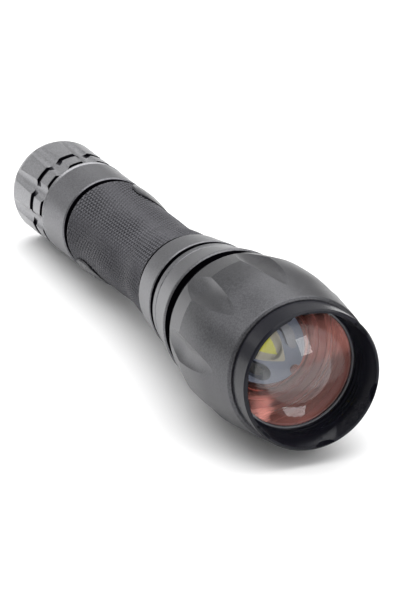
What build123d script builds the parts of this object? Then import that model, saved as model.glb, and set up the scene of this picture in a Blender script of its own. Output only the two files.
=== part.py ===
"""Zoomable aluminium pocket torch, lying on its side, lens facing +X.

Origin: centre of the tail cap's rear face.  +X runs along the torch towards the lens, +Z is up.
Units are millimetres.
"""
import os

from build123d import *

os.makedirs("parts", exist_ok=True)

# ---------------------------------------------------------------- driving dimensions
tail_radius = 12.05
tail_length = 20.8
tail_recess_radius = 7.9
tail_web_start = 3.0
tail_web_end = 4.9
tail_thread_radius = 10.4
flute_count = 10
flute_angle = 118.5
flute_radius = 3.0
flute_rear_depth = 0.35
flute_depth = 1.15
cap_grooves = ((12.4, 14.4), (18.65, 20.1))
cap_groove_depth = 0.75

tube_start = 12.5
tube_end = 96.6
tube_bore = 9.45
tube_ring_radius = 11.95
tube_ring_end = 33.3
grip_start = 35.4
grip_end = 80.9
ring_start = 82.5
neck_thread_radius = 11.5
pad_angles = (47.8, 227.8)
pad_length = 13.1
pad_radius = 12.1

neck_shoulder = 106.3
barrel_radius = 15.0
barrel_front = 132.4
module_bore = 12.8
seal_groove = 118.2
stop_groove = 128.9
driver_bore = 10.4

head_rear = 111.2
head_front = 147.1
head_ridge = 120.8
head_ridge_radius = 19.4
head_max_radius = 19.7
slide_bore = 15.08
head_step = 124.2
head_bore = 16.0
guide_groove = 112.0
scallop_count = 8
scallop_angle = 133.3
scallop_radius = 5.5
scallop_floor = (
    (107.5, 16.9),
    (111.2, 17.4),
    (116.0, 17.72),
    (120.8, 17.9),
    (125.0, 18.35),
    (129.0, 18.7),
    (134.0, 18.93),
    (139.0, 18.84),
    (143.5, 18.75),
)

bezel_radius = 17.15
bezel_front = 154.1
notch_count = 6
notch_angle = 40.0
notch_radius = 2.6
notch_offset = 1.2
notch_wall = 0.55
bezel_thread_start = 137.2
bezel_thread_radius = 16.4
lens_radius = 15.4
lens_back = 142.2
lens_edge_front = 143.6
lens_sag = 7.8
dome_height = 14.4
lens_clear_radius = 14.9

module_front = 134.0
flange_radius = 14.2
board_radius = 5.7
board_thickness = 1.6
wire_hole = 4.3
cell_start = 22.0
cell_length = 65.0
cell_radius = 9.2
thread_gap = 0.08


# ---------------------------------------------------------------- helpers
def turn(points, mode=Mode.ADD):
    """Revolve a closed (x, radius) outline about the torch's axis."""
    with BuildSketch(Plane.XZ) as outline:
        with BuildLine():
            Polyline(*points, close=True)
        make_face()
    revolve(outline.sketch, axis=Axis.X, mode=mode)


def ring(x0, x1, inner, outer, mode=Mode.ADD):
    """A plain ring from x0 to x1; an inner radius of zero gives a disc."""
    turn([(x0, inner), (x1, inner), (x1, outer), (x0, outer)], mode)


def channel(near, far, radius, angle):
    """Cut a round-bottomed channel whose floor runs straight from near to far, both (x, radius)."""
    start = Vector(near[0], near[1] + radius, 0).rotate(Axis.X, angle)
    finish = Vector(far[0], far[1] + radius, 0).rotate(Axis.X, angle)
    run = finish - start
    with BuildSketch(Plane(origin=start, z_dir=run)) as cutter:
        Circle(radius)
    extrude(cutter.sketch, amount=run.length, mode=Mode.SUBTRACT)


def cap(x0, x1, radius):
    """A solid spherical cap on the axis, from its flat base at x0 to its apex at x1."""
    with BuildSketch(Plane.XZ) as outline:
        with BuildLine():
            TangentArc((x1, 0), (x0, radius), tangent=(0, 1))
            Polyline((x0, radius), (x0, 0), (x1, 0))
        make_face()
    revolve(outline.sketch, axis=Axis.X)


def seal_ring(x_mid, ring_radius, cord_radius):
    """A round-section rubber ring about the axis."""
    with BuildSketch(Plane.XZ) as cord:
        with Locations((x_mid, ring_radius)):
            Circle(cord_radius)
    revolve(cord.sketch, axis=Axis.X)


def coil(x0, x1, wire_radius, start_radius, end_radius, turns):
    """A round-wire compression spring from x0 to x1 with a closed ring at each end."""
    height = x1 - x0 - 2 * wire_radius
    plane = Plane(origin=(x0 + wire_radius, 0, 0), x_dir=(0, 1, 0), z_dir=(1, 0, 0))
    steps = int(turns * 12)
    points = []
    for i in range(steps + 1):
        part_way = i / steps
        radius = start_radius + (end_radius - start_radius) * part_way
        angle = 360 * turns * part_way
        spot = Vector(radius, 0, height * part_way).rotate(Axis.Z, angle)
        points.append(plane.from_local_coords(spot))
    with BuildLine() as path:
        Spline(*points)
    with BuildSketch(Plane(origin=path.line @ 0, z_dir=path.line % 0)) as section:
        Circle(wire_radius)
    sweep(section.sketch, path=path.line)


def save(built, label):
    built.part.label = label
    export_step(built.part, f"parts/{label}.step")


# ---------------------------------------------------------------- tail cap and switch
with BuildPart() as tail_cap:
    turn([
        (0, tail_recess_radius + 0.3),
        (0, tail_radius - 1.3),
        (0.5, tail_radius - 0.5),
        (2.2, tail_radius),
        (tail_length - 0.5, tail_radius),
        (tail_length, tail_radius - 0.4),
        (tail_length, tail_thread_radius + 0.3),
        (tail_length - 0.3, tail_thread_radius),
        (9.4, tail_thread_radius),
        (9.4, 9.8),
        (tail_web_end, 9.8),
        (tail_web_end, 6.3),
        (tail_web_start, 6.3),
        (tail_web_start, tail_recess_radius),
        (0.3, tail_recess_radius),
    ])
    for low, high in cap_grooves:
        ring(low, high, tail_radius - cap_groove_depth, tail_radius + 2, Mode.SUBTRACT)
    for index in range(flute_count):
        channel(
            (-0.5, tail_radius - flute_rear_depth),
            (tail_length - 0.7, tail_radius - flute_depth),
            flute_radius,
            flute_angle + index * 360 / flute_count,
        )
save(tail_cap, "tail_cap")

with BuildPart() as switch_boot:
    turn([
        (1.9, 0),
        (1.9, 4.4),
        (2.4, 4.9),
        (4.0, 5.2),
        (5.95, 5.2),
        (5.95, 9.6),
        (4.98, 9.6),
        (4.98, 6.1),
        (3.0, 6.1),
        (1.6, 5.7),
        (0.9, 4.8),
        (0.6, 3.0),
        (0.5, 0),
    ])
    for radius in (2.0, 3.6):
        ring(0.3, 0.75, radius - 0.3, radius + 0.3, Mode.SUBTRACT)
save(switch_boot, "switch_boot")

with BuildPart() as boot_washer:
    ring(6.0, 6.7, 6.6, 9.6)
save(boot_washer, "boot_washer")

with BuildPart() as switch_plunger:
    ring(1.95, 3.2, 0, 3.2)
    ring(3.2, 6.9, 0, 1.4)
save(switch_plunger, "switch_plunger")

with BuildPart() as switch_body:
    with BuildSketch(Plane.YZ.offset(6.0)):
        Rectangle(9.0, 9.0)
    extrude(amount=3.2)
    chamfer(switch_body.edges().filter_by(Axis.X), 0.8)
    ring(5.8, 9.0, 0, 1.5, Mode.SUBTRACT)
save(switch_body, "switch_body")

with BuildPart() as switch_spring:
    coil(3.25, 5.95, 0.2, 2.1, 2.1, 3)
save(switch_spring, "switch_spring")

with BuildPart() as switch_board:
    ring(9.25, 10.35, 0, 9.6)
save(switch_board, "switch_board")

with BuildPart() as switch_ring:
    ring(10.45, 12.1, 7.0, tail_thread_radius - thread_gap)
    with BuildSketch(Plane.YZ.offset(10.4)):
        with PolarLocations(8.8, 2):
            Circle(0.7)
    extrude(amount=2, mode=Mode.SUBTRACT)
save(switch_ring, "switch_ring")

with BuildPart() as tail_spring:
    coil(10.4, cell_start - 0.05, 0.45, 5.2, 3.0, 6)
save(tail_spring, "tail_spring")

# ---------------------------------------------------------------- battery tube
with BuildPart() as battery_tube:
    turn([
        (tube_start, tube_bore),
        (tube_start, tail_thread_radius - thread_gap - 0.4),
        (tube_start + 0.4, tail_thread_radius - thread_gap),
        (17.0, tail_thread_radius - thread_gap),
        (17.0, 9.8),
        (18.6, 9.8),
        (18.6, tail_thread_radius - thread_gap),
        (tail_length + 0.1, tail_thread_radius - thread_gap),
        (tail_length + 0.1, tube_ring_radius - 0.3),
        (tail_length + 0.5, tube_ring_radius),
        (tube_ring_end - 0.4, tube_ring_radius),
        (tube_ring_end, tube_ring_radius - 0.35),
        (tube_ring_end, 10.9),
        (grip_start, 10.9),
        (grip_start, 11.75),
        (grip_start + 0.3, 11.95),
        (48.0, 11.3),
        (51.0, 11.2),
        (60.0, 11.2),
        (63.0, 11.1),
        (68.5, 11.1),
        (74.0, 11.9),
        (grip_end - 0.3, 12.5),
        (grip_end, 12.3),
        (grip_end, 11.6),
        (ring_start, 11.6),
        (ring_start, 12.8),
        (ring_start + 0.3, 13.05),
        (91.95, 14.35),
        (92.25, 14.15),
        (92.25, 13.2),
        (94.1, 13.2),
        (94.1, 14.2),
        (94.35, 14.42),
        (tube_end - 0.2, 14.7),
        (tube_end, 14.55),
        (tube_end, neck_thread_radius + 0.4),
        (tube_end - 0.4, neck_thread_radius),
        (88.2, neck_thread_radius),
        (88.2, tube_bore),
    ])
save(battery_tube, "battery_tube")

with BuildPart() as pad_windows:
    for angle in pad_angles:
        outward = Vector(0, 1, 0).rotate(Axis.X, angle)
        middle = Vector(grip_start + pad_length / 2, 0, 0)
        with BuildSketch(Plane(origin=middle, x_dir=(1, 0, 0), z_dir=outward)):
            Ellipse(pad_length / 2, 4.9)
        extrude(amount=20)

with BuildPart() as grip_pads:
    with BuildSketch(Plane.XZ):
        with BuildLine():
            Polyline((grip_start + 0.3, 11.98), (grip_start + pad_length, 11.33))
            ThreePointArc(
                (grip_start + pad_length, 11.33),
                (grip_start + pad_length * 0.43, pad_radius),
                (grip_start + 0.3, 11.98),
            )
        make_face()
    revolve(axis=Axis.X)
    add(pad_windows.part, mode=Mode.INTERSECT)
save(grip_pads, "grip_pads")

with BuildPart() as tail_seal:
    seal_ring(17.8, 10.09, 0.27)
save(tail_seal, "tail_seal")

with BuildPart() as cell:
    turn([
        (cell_start, 0),
        (cell_start + cell_length + 1.2, 0),
        (cell_start + cell_length + 1.2, 3.6),
        (cell_start + cell_length, 4.0),
        (cell_start + cell_length, cell_radius - 0.5),
        (cell_start + cell_length - 0.4, cell_radius),
        (cell_start + 0.4, cell_radius),
        (cell_start, cell_radius - 0.4),
    ])
save(cell, "cell")

# ---------------------------------------------------------------- neck and slide barrel
with BuildPart() as neck:
    turn([
        (88.4, driver_bore),
        (88.4, neck_thread_radius - 0.5),
        (88.8, neck_thread_radius - thread_gap),
        (93.6, neck_thread_radius - thread_gap),
        (93.6, 11.0),
        (95.0, 11.0),
        (95.0, neck_thread_radius - thread_gap),
        (tube_end + 0.1, neck_thread_radius - thread_gap),
        (tube_end + 0.1, 14.6),
        (tube_end + 0.35, 14.8),
        (neck_shoulder - 0.8, 16.7),
        (neck_shoulder - 0.3, 16.75),
        (neck_shoulder, 16.4),
        (neck_shoulder, barrel_radius),
        (seal_groove, barrel_radius),
        (seal_groove, 14.0),
        (seal_groove + 2.0, 14.0),
        (seal_groove + 2.0, barrel_radius),
        (stop_groove, barrel_radius),
        (stop_groove, 14.3),
        (stop_groove + 1.3, 14.3),
        (stop_groove + 1.3, barrel_radius - 0.1),
        (barrel_front, barrel_radius - 0.1),
        (barrel_front, module_bore),
        (115.0, module_bore),
        (115.0, driver_bore),
    ])
save(neck, "neck")

with BuildPart() as neck_seal:
    seal_ring(94.3, 11.25, 0.23)
save(neck_seal, "neck_seal")

with BuildPart() as slide_seal:
    seal_ring(seal_groove + 1.0, 14.54, 0.52)
save(slide_seal, "slide_seal")

with BuildPart() as stop_ring:
    ring(stop_groove + 0.1, stop_groove + 1.2, 14.35, 15.8)
    with BuildSketch(Plane.YZ.offset(stop_groove - 1)):
        with Locations((0, -15.0)):
            Rectangle(3.0, 4.0)
    extrude(amount=4, mode=Mode.SUBTRACT)
save(stop_ring, "stop_ring")

# ---------------------------------------------------------------- light module
with BuildPart() as light_module:
    turn([
        (95.0, 8.6),
        (95.0, driver_bore - thread_gap),
        (115.1, driver_bore - thread_gap),
        (115.1, module_bore - thread_gap),
        (barrel_front + 0.1, module_bore - thread_gap),
        (barrel_front + 0.1, flange_radius),
        (module_front - 0.3, flange_radius),
        (module_front, flange_radius - 0.3),
        (module_front, 0),
        (128.3, 0),
        (128.3, 8.6),
    ])
    for radius in (6.4, 7.2, 8.0, 8.8, 9.6, 11.8, 12.6):
        ring(module_front - 0.1, module_front + 1, radius - 0.15, radius + 0.15, Mode.SUBTRACT)
    with BuildSketch(Plane.YZ.offset(module_front - 7)):
        with PolarLocations(wire_hole, 2, 90):
            Circle(1.0)
    extrude(amount=8, mode=Mode.SUBTRACT)
    with BuildSketch(Plane.YZ.offset(module_front - 1)):
        with PolarLocations(10.7, 2, 20):
            Circle(0.9)
    extrude(amount=2, mode=Mode.SUBTRACT)
save(light_module, "light_module")

board_front = module_front + board_thickness
with BuildPart() as star_board:
    with BuildSketch(Plane.YZ.offset(module_front)):
        Circle(board_radius)
        with PolarLocations(board_radius, 4, 45):
            Circle(0.7, mode=Mode.SUBTRACT)
        with PolarLocations(wire_hole, 2, 90):
            Circle(1.0, mode=Mode.SUBTRACT)
    extrude(amount=board_thickness)
save(star_board, "star_board")

with BuildPart() as solder_pads:
    with BuildSketch(Plane.YZ.offset(board_front)):
        with PolarLocations(4.0, 2):
            SlotOverall(2.4, 1.1, rotation=90)
    extrude(amount=0.2)
save(solder_pads, "solder_pads")

with BuildPart() as led_package:
    with BuildSketch(Plane.YZ.offset(board_front)):
        RectangleRounded(5.0, 5.0, 0.3)
    extrude(amount=0.6)
    with BuildSketch(Plane.YZ.offset(board_front + 0.35)):
        Circle(2.2)
    extrude(amount=1, mode=Mode.SUBTRACT)
save(led_package, "led_package")

with BuildPart() as led_die:
    with BuildSketch(Plane.YZ.offset(board_front + 0.36)):
        Rectangle(2.8, 2.8)
    extrude(amount=0.2)
save(led_die, "led_die")

with BuildPart() as led_dome:
    cap(board_front + 0.62, board_front + 2.25, 2.2)
save(led_dome, "led_dome")

with BuildPart() as driver_board:
    ring(93.7, 94.9, 0, driver_bore - 0.2)
save(driver_board, "driver_board")

with BuildPart() as driver_parts:
    with BuildSketch(Plane.YZ.offset(94.95)):
        with Locations((3.2, 2.4)):
            RectangleRounded(5.0, 5.0, 0.5)
    extrude(amount=3.0)
    with BuildSketch(Plane.YZ.offset(94.95)):
        with Locations((-3.4, 2.6)):
            Rectangle(4.0, 3.2)
        with Locations((-4.4, -2.4), (-1.8, -2.4), (-3.0, -5.0)):
            Rectangle(1.8, 1.2)
        with Locations((2.6, -3.6)):
            Rectangle(3.0, 3.0)
    extrude(amount=1.3)
save(driver_parts, "driver_parts")

with BuildPart() as driver_ring:
    ring(92.1, 93.6, 8.0, driver_bore - thread_gap)
save(driver_ring, "driver_ring")

with BuildPart() as driver_spring:
    coil(cell_start + cell_length + 1.25, 93.65, 0.4, 2.6, 4.6, 4)
save(driver_spring, "driver_spring")

wire_starts = {"wire_red": (98.2, 1), "wire_black": (96.6, -1)}
for label, (start_x, side) in wire_starts.items():
    with BuildPart() as wire:
        with BuildLine() as wire_path:
            Spline(
                (start_x, 0.4 * side, 2.4 * side),
                (106.0, 1.5 * side, 3.4 * side),
                (120.0, 0.3 * side, wire_hole * side),
                (128.5, 0, wire_hole * side),
                (board_front - 0.3, 0, wire_hole * side),
            )
        with BuildSketch(Plane(origin=wire_path.line @ 1, z_dir=wire_path.line % 1)):
            Circle(0.6)
        sweep(path=wire_path.line)
    save(wire, label)

# ---------------------------------------------------------------- sliding head
with BuildPart() as head_shell:
    with BuildSketch(Plane.XZ):
        with BuildLine():
            Polyline(
                (head_front, bezel_thread_radius + thread_gap),
                (136.8, bezel_thread_radius + thread_gap),
                (136.8, head_bore),
                (head_step, head_bore),
                (head_step, slide_bore),
                (guide_groove + 1.2, slide_bore),
                (guide_groove + 1.2, head_bore),
                (guide_groove, head_bore),
                (guide_groove, slide_bore),
                (head_rear, slide_bore),
                (head_rear, 17.2),
                (head_rear + 0.3, 17.5),
                (head_ridge, head_ridge_radius),
            )
            Spline(
                (head_ridge, head_ridge_radius),
                (head_ridge + 3.2, 19.59),
                (129.0, head_max_radius),
                (134.0, 19.45),
                (138.0, 19.0),
                (142.6, 18.5),
                tangents=[(1, 0.07), (1, -0.12)],
            )
            Polyline(
                (142.6, 18.5),
                (146.3, 18.05),
                (146.7, 17.9),
                (head_front, 17.4),
                (head_front, bezel_thread_radius + thread_gap),
            )
        make_face()
    revolve(axis=Axis.X)
    for index in range(scallop_count):
        turned_by = scallop_angle + index * 360 / scallop_count
        centres = []
        for x, floor_radius in scallop_floor:
            centres.append(Vector(x, floor_radius + scallop_radius, 0).rotate(Axis.X, turned_by))
        with BuildLine() as cutter_path:
            Spline(*centres)
        with BuildSketch(Plane(origin=cutter_path.line @ 0, z_dir=cutter_path.line % 0)) as cutter:
            Circle(scallop_radius)
        sweep(cutter.sketch, path=cutter_path.line, mode=Mode.SUBTRACT)
save(head_shell, "head_shell")

with BuildPart() as guide_ring:
    with BuildSketch(Plane.XZ):
        with Locations((guide_groove + 0.6, 15.54)):
            Rectangle(1.0, 0.8)
    revolve(axis=Axis.X)
save(guide_ring, "guide_ring")

with BuildPart() as strike_bezel:
    turn([
        (bezel_thread_start, lens_radius + 0.1),
        (bezel_thread_start, bezel_thread_radius),
        (head_front + 0.05, bezel_thread_radius),
        (head_front + 0.05, bezel_radius - 0.1),
        (head_front + 0.2, bezel_radius),
        (bezel_front - 0.5, bezel_radius),
        (bezel_front, bezel_radius - 0.35),
        (bezel_front, bezel_radius - 0.9),
        (149.1, 15.55),
        (148.2, 15.55),
        (147.9, 15.4),
        (147.0, 15.4),
        (146.7, 15.25),
        (145.8, 15.25),
        (145.5, lens_clear_radius + 0.1),
        (144.9, lens_clear_radius),
        (lens_edge_front + 0.5, lens_clear_radius),
        (lens_edge_front + 0.5, lens_radius + 0.1),
    ])
    for index in range(notch_count):
        turned_by = notch_angle + index * 360 / notch_count
        centre = Vector(bezel_front + notch_offset, 0, 0)
        outward = Vector(0, 1, 0).rotate(Axis.X, turned_by)
        with BuildSketch(Plane(origin=centre, x_dir=(1, 0, 0), z_dir=outward)):
            Circle(notch_radius)
        extrude(amount=bezel_radius - notch_wall, mode=Mode.SUBTRACT)
save(strike_bezel, "strike_bezel")

with BuildPart() as lens_gasket:
    ring(lens_edge_front + 0.03, lens_edge_front + 0.45, lens_clear_radius - 0.25, lens_radius + 0.05)
save(lens_gasket, "lens_gasket")

with BuildPart() as lens:
    ring(lens_back, lens_edge_front, 0, lens_radius)
    cap(lens_edge_front, lens_edge_front + lens_sag, dome_height)
save(lens, "lens")

with BuildPart() as lens_seal:
    seal_ring(lens_back - 0.57, 14.85, 0.52)
save(lens_seal, "lens_seal")

with BuildPart() as lens_ring:
    ring(137.25, 141.0, 13.9, lens_radius)
    with BuildSketch(Plane.YZ.offset(136.25)):
        with PolarLocations(14.6, 2):
            Rectangle(1.4, 1.4)
    extrude(amount=2, mode=Mode.SUBTRACT)
save(lens_ring, "lens_ring")
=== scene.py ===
"""Looks of the zoomable torch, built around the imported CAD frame."""

import math

import bpy
from mathutils import Matrix, Vector


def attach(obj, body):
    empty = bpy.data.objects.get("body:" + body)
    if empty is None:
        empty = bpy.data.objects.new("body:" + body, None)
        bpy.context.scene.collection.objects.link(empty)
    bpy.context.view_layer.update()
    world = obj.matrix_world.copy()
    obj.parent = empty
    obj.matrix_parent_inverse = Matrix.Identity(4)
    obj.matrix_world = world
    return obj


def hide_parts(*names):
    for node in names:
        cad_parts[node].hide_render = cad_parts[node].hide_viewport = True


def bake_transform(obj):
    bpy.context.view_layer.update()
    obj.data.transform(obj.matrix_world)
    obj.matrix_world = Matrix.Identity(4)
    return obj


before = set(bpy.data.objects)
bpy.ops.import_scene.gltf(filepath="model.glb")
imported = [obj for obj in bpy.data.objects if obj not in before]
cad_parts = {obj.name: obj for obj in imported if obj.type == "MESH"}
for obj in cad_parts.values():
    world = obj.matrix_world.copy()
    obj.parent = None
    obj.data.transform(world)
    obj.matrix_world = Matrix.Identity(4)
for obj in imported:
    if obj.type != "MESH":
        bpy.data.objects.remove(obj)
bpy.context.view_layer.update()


# ---------------------------------------------------------------- stage
def look_along(position, forward, up):
    """A camera matrix from a position, a viewing direction and a rough up direction."""
    forward = Vector(forward).normalized()
    right = forward.cross(Vector(up)).normalized()
    true_up = right.cross(forward)
    turn = Matrix((right, true_up, -forward)).transposed().to_4x4()
    return Matrix.Translation(position) @ turn


CAMERA_LENS = 479.3
CAMERA_PLACE = (1.72647, -0.69463, 0.64247)
CAMERA_FORWARD = (-0.86563, 0.36722, -0.34034)
CAMERA_UP = (-0.30367, 0.15538, 0.94002)

camera_data = bpy.data.cameras.new("camera")
camera_data.sensor_fit = "VERTICAL"
camera_data.sensor_height = 36.0
camera_data.lens = CAMERA_LENS
camera_data.clip_start = 0.05
camera_data.clip_end = 20.0
camera = bpy.data.objects.new("camera", camera_data)
bpy.context.collection.objects.link(camera)
camera.matrix_world = look_along(CAMERA_PLACE, CAMERA_FORWARD, CAMERA_UP)
bpy.context.scene.camera = camera


def lowest_along(nodes, up):
    """How far the lowest vertex of the nodes lies along the up direction."""
    return min(v.co.dot(up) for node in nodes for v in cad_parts[node].data.vertices)


def up_at(tilt):
    """The floor's up direction when it is tilted towards the lens."""
    return Vector((math.sin(tilt), 0, math.cos(tilt)))


# the torch rests on its head and tail cap, so the floor falls away towards the lens
STEEPEST_TILT = math.radians(8)
TILT_STEPS = 30
FLOOR_GAP = 0.00006
FLOOR_SIZE = 12

tilt_low, tilt_high = 0.0, STEEPEST_TILT
for _ in range(TILT_STEPS):
    tilt = (tilt_low + tilt_high) / 2
    floor_up = up_at(tilt)
    if lowest_along(["tail_cap"], floor_up) > lowest_along(["head_shell", "strike_bezel"], floor_up):
        tilt_low = tilt
    else:
        tilt_high = tilt
floor_up = up_at(tilt)
floor_turn = floor_up.to_track_quat("Z", "Y").to_matrix().to_4x4()
touch = floor_up * (lowest_along(["tail_cap"], floor_up) - FLOOR_GAP)
bpy.ops.mesh.primitive_plane_add(size=FLOOR_SIZE)
floor = bpy.context.object
floor.name = "floor"
floor.matrix_world = Matrix.Translation(touch) @ floor_turn


def area_light(name, place, aim, size, power, size_y=None):
    """A white lamp at a place, aimed at a point; square unless size_y is given."""
    data = bpy.data.lights.new(name, "AREA")
    data.energy = power
    data.size = size
    if size_y:
        data.shape = "RECTANGLE"
        data.size_y = size_y
    lamp = bpy.data.objects.new(name, data)
    bpy.context.collection.objects.link(lamp)
    lamp.location = place
    aim_way = Vector(aim) - Vector(place)
    lamp.rotation_euler = aim_way.to_track_quat("-Z", "Y").to_euler()


CENTRE = (0.08, 0, 0)
LENS_CENTRE = (0.15, 0, 0)
WORLD_STRENGTH = 0.5

area_light("key", (0.0, 0.15, 0.95), CENTRE, 1.7, 21.0)
area_light("window", (0.95, 0.37, 0.42), LENS_CENTRE, 0.34, 2.6, size_y=0.46)
area_light("left", (-0.45, -0.55, 0.55), CENTRE, 0.6, 1.8)

world = bpy.data.worlds.new("world")
bpy.context.scene.world = world
world.use_nodes = True
world.node_tree.nodes["Background"].inputs["Color"].default_value = (1, 1, 1, 1)
world.node_tree.nodes["Background"].inputs["Strength"].default_value = WORLD_STRENGTH
bpy.context.scene.view_settings.view_transform = "Standard"


# ---------------------------------------------------------------- material kit
NOISE_ROUGHNESS = 0.6
METRES_TO_MM = 1000.0
WINDOW_EDGE = 0.04


class Paint:
    """A small wrapper that builds one node material."""

    def __init__(self, name):
        self.material = bpy.data.materials.new(name)
        self.material.use_nodes = True
        self.tree = self.material.node_tree
        self.shader = self.tree.nodes["Principled BSDF"]
        self.coords = self.node("ShaderNodeTexCoord").outputs["Object"]

    def node(self, kind, **settings):
        made = self.tree.nodes.new(kind)
        for key, value in settings.items():
            setattr(made, key, value)
        return made

    def link(self, source, target):
        self.tree.links.new(source, target)

    def set(self, **values):
        for key, value in values.items():
            self.shader.inputs[key.replace("_", " ")].default_value = value

    def math(self, operation, a, b=None):
        made = self.node("ShaderNodeMath", operation=operation)
        for slot, value in enumerate((a, b)):
            if value is None:
                continue
            if isinstance(value, (int, float)):
                made.inputs[slot].default_value = value
            else:
                self.link(value, made.inputs[slot])
        return made.outputs[0]

    def noise(self, scale, detail):
        made = self.node("ShaderNodeTexNoise")
        made.inputs["Scale"].default_value = scale
        made.inputs["Detail"].default_value = detail
        made.inputs["Roughness"].default_value = NOISE_ROUGHNESS
        self.link(self.coords, made.inputs["Vector"])
        return made.outputs["Fac"]

    def remap(self, value, low, high, to_low, to_high):
        made = self.node("ShaderNodeMapRange")
        for slot, number in zip(("From Min", "From Max", "To Min", "To Max"), (low, high, to_low, to_high)):
            made.inputs[slot].default_value = number
        self.link(value, made.inputs["Value"])
        return made.outputs["Result"]

    def mix(self, factor, a, b):
        made = self.node("ShaderNodeMix", data_type="RGBA")
        self.link(factor, made.inputs[0])
        for slot, value in ((6, a), (7, b)):
            if isinstance(value, tuple):
                made.inputs[slot].default_value = (*value, 1)
            else:
                self.link(value, made.inputs[slot])
        return made.outputs[2]

    def axis_and_radius(self):
        """Distance along the torch's axis and away from it, in millimetres."""
        parts = self.node("ShaderNodeSeparateXYZ")
        self.link(self.coords, parts.inputs[0])
        y2 = self.math("MULTIPLY", parts.outputs["Y"], parts.outputs["Y"])
        z2 = self.math("MULTIPLY", parts.outputs["Z"], parts.outputs["Z"])
        radius = self.math("SQRT", self.math("ADD", y2, z2))
        x_mm = self.math("MULTIPLY", parts.outputs["X"], METRES_TO_MM)
        return x_mm, self.math("MULTIPLY", radius, METRES_TO_MM)

    def window(self, value, low, high):
        """1 where value lies between low and high, 0 elsewhere."""
        rise = self.remap(value, low - WINDOW_EDGE, low + WINDOW_EDGE, 0.0, 1.0)
        fall = self.remap(value, high - WINDOW_EDGE, high + WINDOW_EDGE, 1.0, 0.0)
        return self.math("MULTIPLY", rise, fall)

    def bump(self, height, strength, distance):
        made = self.node("ShaderNodeBump")
        made.inputs["Strength"].default_value = strength
        made.inputs["Distance"].default_value = distance
        self.link(height, made.inputs["Height"])
        self.link(made.outputs[0], self.shader.inputs["Normal"])

    def to(self, value, socket):
        self.link(value, self.shader.inputs[socket])


BLACK = (0.008, 0.007, 0.012)
ANODISED_ROUGHNESS = 0.36
ANODISED_METAL = 0.9
# painted shade: how far the knurled grip's colour is pulled towards black, standing in for shade in the
# knurl's crevices
GRIP_PAINTED_SHADE = 0.62
FINE_GRAIN_DEPTH = 0.00004
TURNED_MARK_DEPTH = 0.00001


def anodised(name, light, dark, groove_windows=(), painted_shade_window=None):
    """Fine-blasted grey anodised aluminium, black in the stated grooves, with painted shade darkening the
    knurled grip.
    """
    p = Paint(name)
    fine = p.noise(2600.0, 3.0)
    cloud = p.noise(60.0, 4.0)
    color = p.mix(p.remap(fine, 0.36, 0.64, 0.0, 1.0), dark, light)
    color = p.mix(p.remap(cloud, 0.35, 0.7, 0.0, 0.22), color, dark)
    roughness = p.remap(fine, 0.3, 0.7, ANODISED_ROUGHNESS - 0.06, ANODISED_ROUGHNESS + 0.08)
    x, radius = p.axis_and_radius()
    if painted_shade_window:
        # painted shade: the grip span is darkened towards black for the shade in the knurl
        color = p.mix(p.math("MULTIPLY", p.window(x, *painted_shade_window), GRIP_PAINTED_SHADE), color, BLACK)
    covered = None
    for x_low, x_high, r_low, r_high in groove_windows:
        one = p.math("MULTIPLY", p.window(x, x_low, x_high), p.window(radius, r_low, r_high))
        covered = one if covered is None else p.math("MAXIMUM", covered, one)
    if covered is not None:
        color = p.mix(covered, color, BLACK)
    p.to(color, "Base Color")
    p.to(roughness, "Roughness")
    p.set(Metallic=ANODISED_METAL)
    p.bump(fine, 0.5, FINE_GRAIN_DEPTH)
    return p.material


def plain(name, a, b, rough, metal=0.0, scale=900.0, bump=0.15, **extra):
    """A simple two-tone procedural finish with fine grain."""
    p = Paint(name)
    grain = p.noise(scale, 4.0)
    p.to(p.mix(grain, a, b), "Base Color")
    p.to(p.remap(grain, 0.3, 0.7, rough - 0.05, rough + 0.07), "Roughness")
    p.set(Metallic=metal, **extra)
    p.bump(grain, bump, FINE_GRAIN_DEPTH)
    return p.material


def turned(name, a, b, rough, marks_per_mm):
    """Lathe-turned metal: fine concentric marks about the torch's axis."""
    p = Paint(name)
    x, radius = p.axis_and_radius()
    wave = p.node("ShaderNodeTexNoise", noise_dimensions="1D")
    wave.inputs["Scale"].default_value = marks_per_mm
    wave.inputs["Detail"].default_value = 4.0
    p.link(p.math("ADD", radius, x), wave.inputs["W"])
    marks = wave.outputs["Fac"]
    p.to(p.mix(p.remap(marks, 0.3, 0.7, 0.0, 1.0), a, b), "Base Color")
    p.to(p.remap(marks, 0.3, 0.7, rough - 0.03, rough + 0.04), "Roughness")
    p.set(Metallic=1.0)
    p.bump(marks, 0.03, TURNED_MARK_DEPTH)
    return p.material


GREY_LIGHT = (0.19, 0.19, 0.2)
GREY_DARK = (0.11, 0.11, 0.118)
# coloured black, as (from x, to x, from radius, to radius) in millimetres
CAP_GROOVES = ((12.33, 14.47, 11.26, 11.98), (18.58, 20.17, 11.26, 11.98))
TUBE_GROOVES = (
    (33.22, 35.45, 10.5, 11.7),
    (80.82, 82.55, 11.2, 12.7),
    (92.18, 94.15, 12.9, 14.1),
)
NECK_BLACK = ((106.22, 140.0, 13.0, 16.3),)
# the span of the knurled grip that gets painted shade
SHADED_GRIP_SPAN = (35.45, 80.85)

head_grey = anodised("head_grey", (0.098, 0.098, 0.104), (0.052, 0.052, 0.057))
neck_grey = anodised("neck_grey", GREY_LIGHT, GREY_DARK, NECK_BLACK)
tube_grey = anodised(
    "tube_grey",
    GREY_LIGHT,
    GREY_DARK,
    TUBE_GROOVES,
    painted_shade_window=SHADED_GRIP_SPAN,
)
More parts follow.
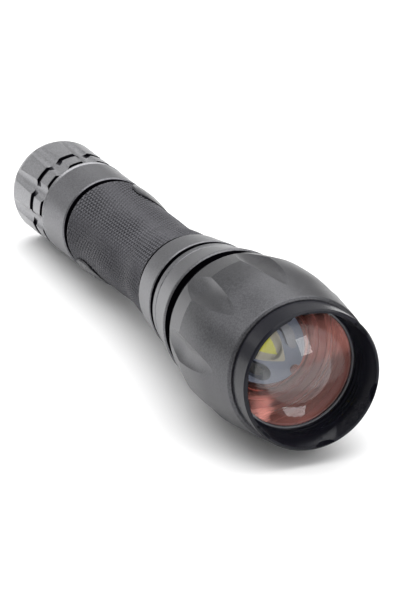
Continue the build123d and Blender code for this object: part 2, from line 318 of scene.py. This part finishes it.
# painted light: the tail cap is the same grey anodising as the tube, given a lighter grey for the light
# falling on the tail from the left and above
cap_grey_painted_light = anodised(
    "cap_grey_painted_light", (0.31, 0.31, 0.32), (0.2, 0.2, 0.21), CAP_GROOVES,
)
bezel_black = plain(
    "bezel_black", (0.004, 0.004, 0.007), (0.010, 0.010, 0.015), 0.2,
    scale=2500.0, Specular_IOR_Level=0.16,
)
pad_black = plain("pad_black", (0.006, 0.006, 0.009), (0.014, 0.014, 0.02), 0.3, metal=0.2)
rubber = plain("rubber", (0.012, 0.012, 0.012), (0.025, 0.025, 0.025), 0.6, scale=3000.0, bump=0.3)
nylon = plain("nylon", (0.7, 0.7, 0.68), (0.8, 0.8, 0.78), 0.5)
dark_plastic = plain("dark_plastic", (0.02, 0.02, 0.02), (0.035, 0.035, 0.035), 0.45)
spring_wire = plain("spring_wire", (0.6, 0.58, 0.54), (0.72, 0.7, 0.66), 0.25, metal=1.0)
green_board = plain("green_board", (0.01, 0.09, 0.04), (0.02, 0.13, 0.06), 0.35)
bare_metal = turned("bare_metal", (0.6, 0.6, 0.61), (0.75, 0.75, 0.76), 0.28, marks_per_mm=9.0)
# the copper hue is the pill's own; its darkness is painted shade for the dim inside of the head, which lamp
# light reaches only through the lens
copper_in_painted_shade = turned("copper_in_painted_shade", (0.25, 0.095, 0.08), (0.33, 0.135, 0.112), 0.26, marks_per_mm=1.8)
wrap = plain("wrap", (0.03, 0.06, 0.2), (0.05, 0.09, 0.27), 0.25)
# painted shade: the white star board is given a dark blue-grey for the dim inside of the head
star_white = plain("star_white", (0.13, 0.14, 0.19), (0.18, 0.20, 0.25), 0.4)
solder = plain("solder", (0.2, 0.2, 0.22), (0.3, 0.3, 0.31), 0.4, metal=1.0)
ceramic = plain("ceramic", (0.34, 0.30, 0.21), (0.42, 0.38, 0.28), 0.5)
phosphor = plain("phosphor", (0.50, 0.48, 0.01), (0.64, 0.60, 0.04), 0.5)
red_wire = plain("red_wire", (0.5, 0.02, 0.02), (0.6, 0.04, 0.03), 0.35)
black_wire = plain("black_wire", (0.015, 0.015, 0.015), (0.03, 0.03, 0.03), 0.35)
gasket = plain("gasket", (0.16, 0.16, 0.18), (0.24, 0.24, 0.26), 0.35)


LAMP_TINT = (0.66, 0.67, 0.69, 1)


def clear(name, tint, ior):
    """Clear glass or silicone that lets the lamps reach what is behind it."""
    p = Paint(name)
    p.set(Base_Color=(*tint, 1), Roughness=0.0, IOR=ior, Transmission_Weight=1.0)
    through = p.node("ShaderNodeBsdfTransparent")
    through.inputs["Color"].default_value = LAMP_TINT
    path = p.node("ShaderNodeLightPath")
    join = p.node("ShaderNodeMixShader")
    p.link(path.outputs["Is Shadow Ray"], join.inputs[0])
    p.link(p.shader.outputs[0], join.inputs[1])
    p.link(through.outputs[0], join.inputs[2])
    p.link(join.outputs[0], p.tree.nodes["Material Output"].inputs["Surface"])
    return p.material


lens_glass = clear("lens_glass", (0.985, 0.99, 1.0), 1.49)
silicone = clear("silicone", (1.0, 1.0, 0.98), 1.08)


# ---------------------------------------------------------------- turned pieces
MM = 0.001
SHARP_ANGLE = math.radians(25)


def lathe(name, outline, sides, relief=None, material=None):
    """A closed outline of (x, radius) stations in millimetres, turned about the torch's axis."""
    rings = len(outline)
    points = []
    for x, radius in outline:
        for j in range(sides):
            share = j / sides
            cut = relief(x, radius, share) if relief else 0.0
            angle = 2 * math.pi * share
            out = (radius - cut) * MM
            points.append((x * MM, out * math.cos(angle), out * math.sin(angle)))
    faces = []
    for i in range(rings):
        k = (i + 1) % rings
        for j in range(sides):
            m = (j + 1) % sides
            faces.append((i * sides + j, i * sides + m, k * sides + m, k * sides + j))
    mesh = bpy.data.meshes.new(name)
    mesh.from_pydata(points, [], faces)
    mesh.update()
    mesh.shade_smooth()
    mesh.set_sharp_from_angle(angle=SHARP_ANGLE)
    mesh.materials.append(material)
    made = bpy.data.objects.new(name, mesh)
    bpy.context.collection.objects.link(made)
    return made


def saw(value):
    """A triangle wave from 0 to 1 and back over one period."""
    return abs(2 * (value % 1.0) - 1)


KNURL_START, KNURL_END = 35.7, 80.6
KNURL_PITCH, KNURL_AROUND, KNURL_DEPTH = 1.27, 44, 0.36
KNURL_STEPS = 8
KNURL_INNER = 10.9
THREAD_START, THREAD_END = 13.0, 16.9
THREAD_INNER, THREAD_DEPTH = 10.0, 0.28


def tube_relief(x, radius, share):
    """Diamond knurl on the grip and a thread on the rear spigot."""
    if KNURL_START <= x <= KNURL_END and radius > KNURL_INNER:
        along = (x - KNURL_START) / KNURL_PITCH
        around = share * KNURL_AROUND
        return KNURL_DEPTH * (1 - min(saw(around + along), saw(around - along)))
    if THREAD_START < x < THREAD_END and radius > THREAD_INNER:
        return THREAD_DEPTH * saw(share + x)
    return 0.0


def between(stations, step):
    """The same run of stations with extra ones every step millimetres."""
    run = [stations[0]]
    for (x0, r0), (x1, r1) in zip(stations, stations[1:]):
        count = max(1, round((x1 - x0) / step))
        run += [(x0 + (x1 - x0) * i / count, r0 + (r1 - r0) * i / count) for i in range(1, count + 1)]
    return run


grip = between(
    [(35.7, 11.95), (48.0, 11.3), (51.0, 11.2), (60.0, 11.2),
     (63.0, 11.1), (68.5, 11.1), (74.0, 11.9), (80.6, 12.5)],
    KNURL_PITCH / KNURL_STEPS,
)
spigot = between([(12.9, 10.32), (17.0, 10.32)], 1 / 6)
tube_outline = (
    [(12.5, 9.45), (12.5, 9.92)] + spigot
    + [(17.0, 9.8), (18.6, 9.8), (18.6, 10.32), (20.9, 10.32), (20.9, 11.65), (21.2, 11.95),
       (32.9, 11.95), (33.3, 11.6), (33.3, 10.9), (35.4, 10.9), (35.4, 11.75)]
    + grip
    + [(80.9, 12.3), (80.9, 11.6), (82.5, 11.6), (82.5, 12.8), (82.8, 13.05), (91.95, 14.35),
       (92.25, 14.15), (92.25, 13.2), (94.1, 13.2), (94.1, 14.2), (94.35, 14.42), (96.4, 14.7),
       (96.6, 14.55), (96.6, 11.9), (96.2, 11.5), (88.2, 11.5), (88.2, 9.45)]
)
tube = lathe("knurled_tube", tube_outline, KNURL_AROUND * KNURL_STEPS, tube_relief, tube_grey)
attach(tube, "barrel")
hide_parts("battery_tube")

LENS_BACK, LENS_EDGE, LENS_APEX = 142.2, 143.6, 151.4
LENS_RADIUS, DOME_HEIGHT = 15.4, 14.4
DOME_STEPS, LENS_SIDES = 40, 160
PINHOLE = 0.002  # the turned outline stays this far off the axis
dome_sag = LENS_APEX - LENS_EDGE
dome_radius = (DOME_HEIGHT ** 2 + dome_sag ** 2) / (2 * dome_sag)
dome_reach = math.asin(DOME_HEIGHT / dome_radius)
dome = []
for i in range(DOME_STEPS + 1):
    angle = dome_reach * (1 - i / DOME_STEPS)
    dome_x = LENS_APEX - dome_radius * (1 - math.cos(angle))
    dome.append((dome_x, max(dome_radius * math.sin(angle), PINHOLE)))
lens = lathe(
    "moulded_lens",
    [(LENS_BACK, PINHOLE), (LENS_BACK, LENS_RADIUS), (LENS_EDGE, LENS_RADIUS)] + dome,
    LENS_SIDES,
    material=lens_glass,
)
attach(lens, "head")
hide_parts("lens")


def soft_copy(node, name, material):
    """A copy of a soft CAD piece, given the material, in place of the hidden CAD node."""
    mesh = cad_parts[node].data.copy()
    mesh.materials.clear()
    mesh.materials.append(material)
    made = bpy.data.objects.new(name, mesh)
    bpy.context.collection.objects.link(made)
    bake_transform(made)
    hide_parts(node)


soft_copy("switch_boot", "rubber_boot", rubber)
soft_copy("switch_spring", "plunger_spring", spring_wire)
soft_copy("tail_spring", "cell_spring", spring_wire)

PAINTED = {
    "tail_cap": cap_grey_painted_light, "battery_tube": tube_grey, "neck": neck_grey, "head_shell": head_grey,
    "grip_pads": pad_black, "strike_bezel": bezel_black, "lens": lens_glass, "lens_gasket": gasket,
    "lens_seal": rubber, "lens_ring": bezel_black, "switch_boot": rubber, "boot_washer": nylon,
    "switch_plunger": dark_plastic, "switch_body": dark_plastic, "switch_spring": spring_wire,
    "switch_board": green_board, "switch_ring": bare_metal, "tail_spring": spring_wire,
    "tail_seal": rubber, "cell": wrap, "neck_seal": rubber, "slide_seal": rubber,
    "stop_ring": spring_wire, "light_module": copper_in_painted_shade, "star_board": star_white,
    "solder_pads": solder, "led_package": ceramic, "led_die": phosphor, "led_dome": silicone,
    "driver_board": green_board, "driver_parts": dark_plastic, "driver_ring": bare_metal,
    "driver_spring": spring_wire, "wire_red": red_wire, "wire_black": black_wire,
    "guide_ring": nylon,
}
for node, material in PAINTED.items():
    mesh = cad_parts[node].data
    mesh.materials.clear()
    mesh.materials.append(material)

p = Paint("floor_paper")
p.to(p.mix(p.noise(40.0, 3.0), (0.93, 0.93, 0.93), (0.95, 0.95, 0.95)), "Base Color")
p.set(Roughness=0.7)
floor.data.materials.append(p.material)
